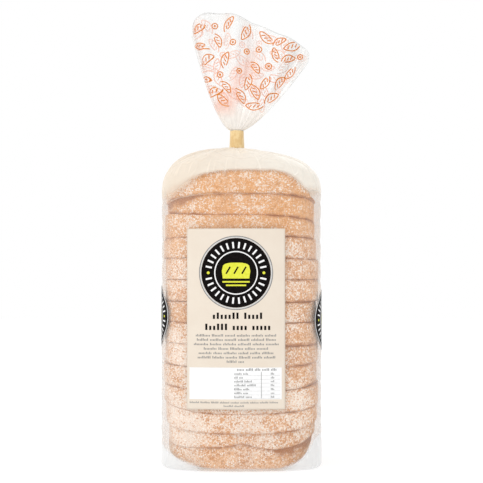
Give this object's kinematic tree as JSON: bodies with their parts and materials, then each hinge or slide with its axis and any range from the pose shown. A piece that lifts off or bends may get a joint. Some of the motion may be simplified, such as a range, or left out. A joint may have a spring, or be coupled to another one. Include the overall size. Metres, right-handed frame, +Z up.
{
  "type": "sliced loaf in bread bag",
  "caption": "Small sliced tin loaf in a clear film bag standing on its heel, neck taped, mouth fanned out, label on the front and a round badge on each side.",
  "frame": {"origin": "middle of the bag's flat bottom, at the middle of the bounding box, on the surface it stands on", "axes": "+Z up from the bottom heel to the fanned mouth, -Y towards the labelled front, +X to the right seen from the front"},
  "size_m": [0.1054, 0.0974, 0.3018],
  "materials": {
    "bag_film": "clear glossy polypropylene film over floury tan crust",
    "neck_tape": "satin buff sealing tape",
    "label_paper": "matt cream label paper with printed panels",
    "badge_print": "black printed film"
  },
  "bodies": {
    "root": {"bread_bag": "bag_film", "neck_tape": "neck_tape", "front_label": "label_paper", "left_badge": "badge_print", "right_badge": "badge_print"}
  },
  "joints": []
}
